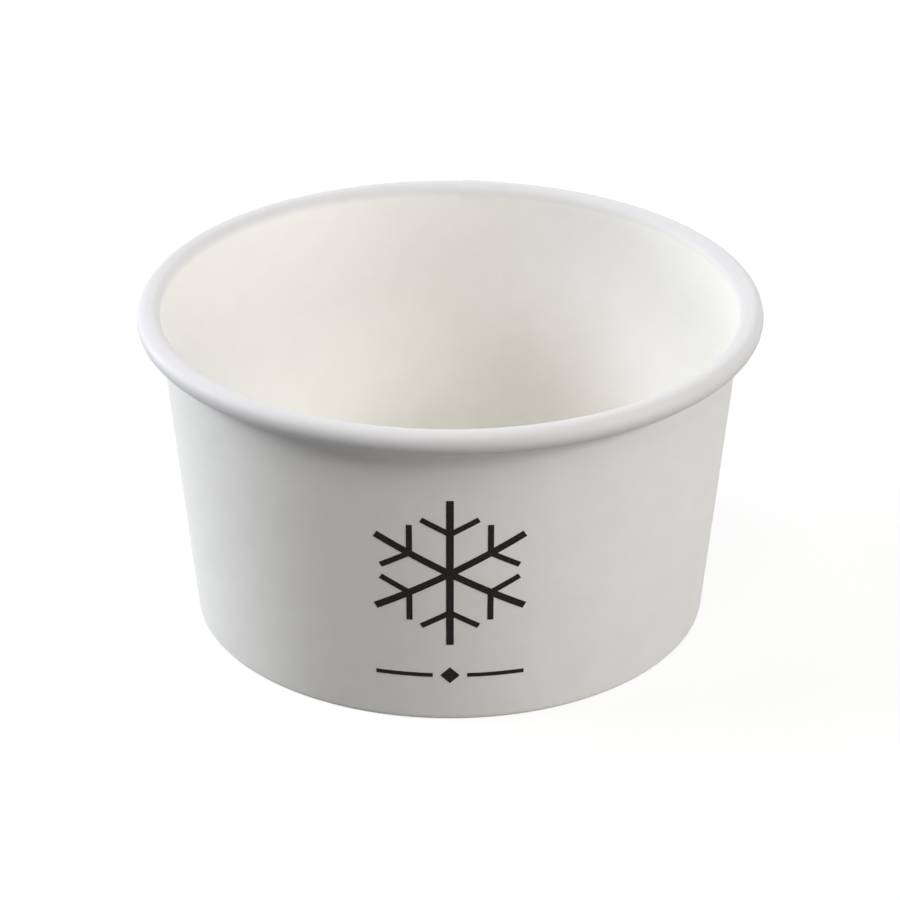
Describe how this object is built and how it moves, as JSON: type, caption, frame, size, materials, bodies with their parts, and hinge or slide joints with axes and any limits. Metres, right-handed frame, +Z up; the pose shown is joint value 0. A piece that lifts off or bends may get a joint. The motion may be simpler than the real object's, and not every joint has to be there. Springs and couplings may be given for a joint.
{
  "type": "paper yogurt cup",
  "caption": "Round tapered paper cup with a rolled rim, a recessed base and a printed emblem on its front.",
  "frame": {"origin": "centre of the foot ring, on the surface that the cup stands on", "axes": "+Z up along the cup's axis, -Y towards the printed front, +X to the right seen from there"},
  "size_m": [0.087, 0.087, 0.0466],
  "materials": {
    "coated_wall_board": "satin",
    "coated_base_board": "satin",
    "black_ink": "matte"
  },
  "bodies": {
    "root": {"sidewall": "coated_wall_board", "base_disc": "coated_base_board", "printed_emblem": "black_ink"}
  },
  "joints": []
}
